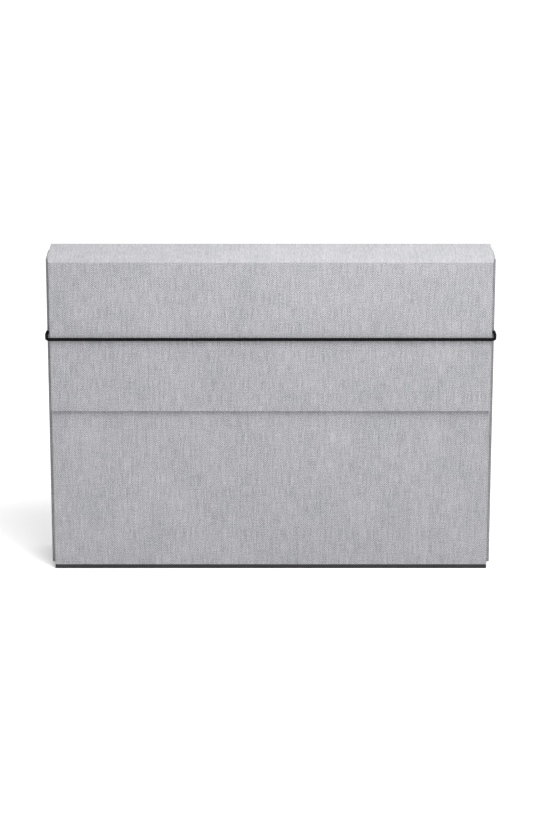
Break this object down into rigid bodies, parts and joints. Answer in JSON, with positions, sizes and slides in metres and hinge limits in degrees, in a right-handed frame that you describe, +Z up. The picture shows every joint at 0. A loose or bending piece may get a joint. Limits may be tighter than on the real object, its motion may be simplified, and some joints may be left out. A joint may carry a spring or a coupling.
{
  "type": "archival box",
  "caption": "Cloth-covered archival box for paper, standing on its long edge, with a hinged lid, a front flap and a round elastic closure.",
  "frame": {"origin": "middle of the bottom of the whole box, elastic included, on the floor", "axes": "+Z up, -Y towards the front with the flap, +X to the right when looking at the front"},
  "size_m": [0.339, 0.0584, 0.2428],
  "materials": {
    "base": "matt dark covering",
    "lining": "matt",
    "board": "matt",
    "cloth": "matt woven",
    "elastic": "matt, tightly braided over rubber"
  },
  "bodies": {
    "box": {"base_board": "base", "floor_lining": "lining", "front_board": "board", "left_return_board": "board", "right_return_board": "board", "front_cloth": "cloth", "wall_lining": "lining", "back_board": "board", "left_side_board": "board", "right_side_board": "board", "rear_cloth": "cloth", "left_side_strip": "cloth", "right_side_strip": "cloth", "left_knot": "elastic", "right_knot": "elastic"},
    "lid": {"lid_board": "board", "lid_cloth": "cloth", "lid_lining": "lining", "rear_hinge_cloth": "cloth"},
    "flap": {"flap_board": "board", "flap_cloth": "cloth", "flap_lining": "lining", "front_hinge_cloth": "cloth"},
    "elastic": {"elastic_cord": "elastic"}
  },
  "joints": [
    {"name": "lid_hinge", "type": "hinge", "parent": "box", "child": "lid", "pos_m": [0, 0.02923, 0.2428], "axis": [-1, 0, 0], "range_deg": [0, 175], "deforming": ["rear_hinge_cloth"]},
    {"name": "flap_hinge", "type": "hinge", "parent": "lid", "child": "flap", "pos_m": [0, -0.02678, 0.2428], "axis": [-1, 0, 0], "range_deg": [0, 175], "deforming": ["front_hinge_cloth"]},
    {"name": "elastic_release", "type": "slide", "parent": "box", "child": "elastic", "axis": [0, -0.321, -0.9471], "range_m": [0, 0.062], "stiffness_N_per_m": 60, "springref_m": -0.01, "deforming": ["elastic_cord"]}
  ]
}
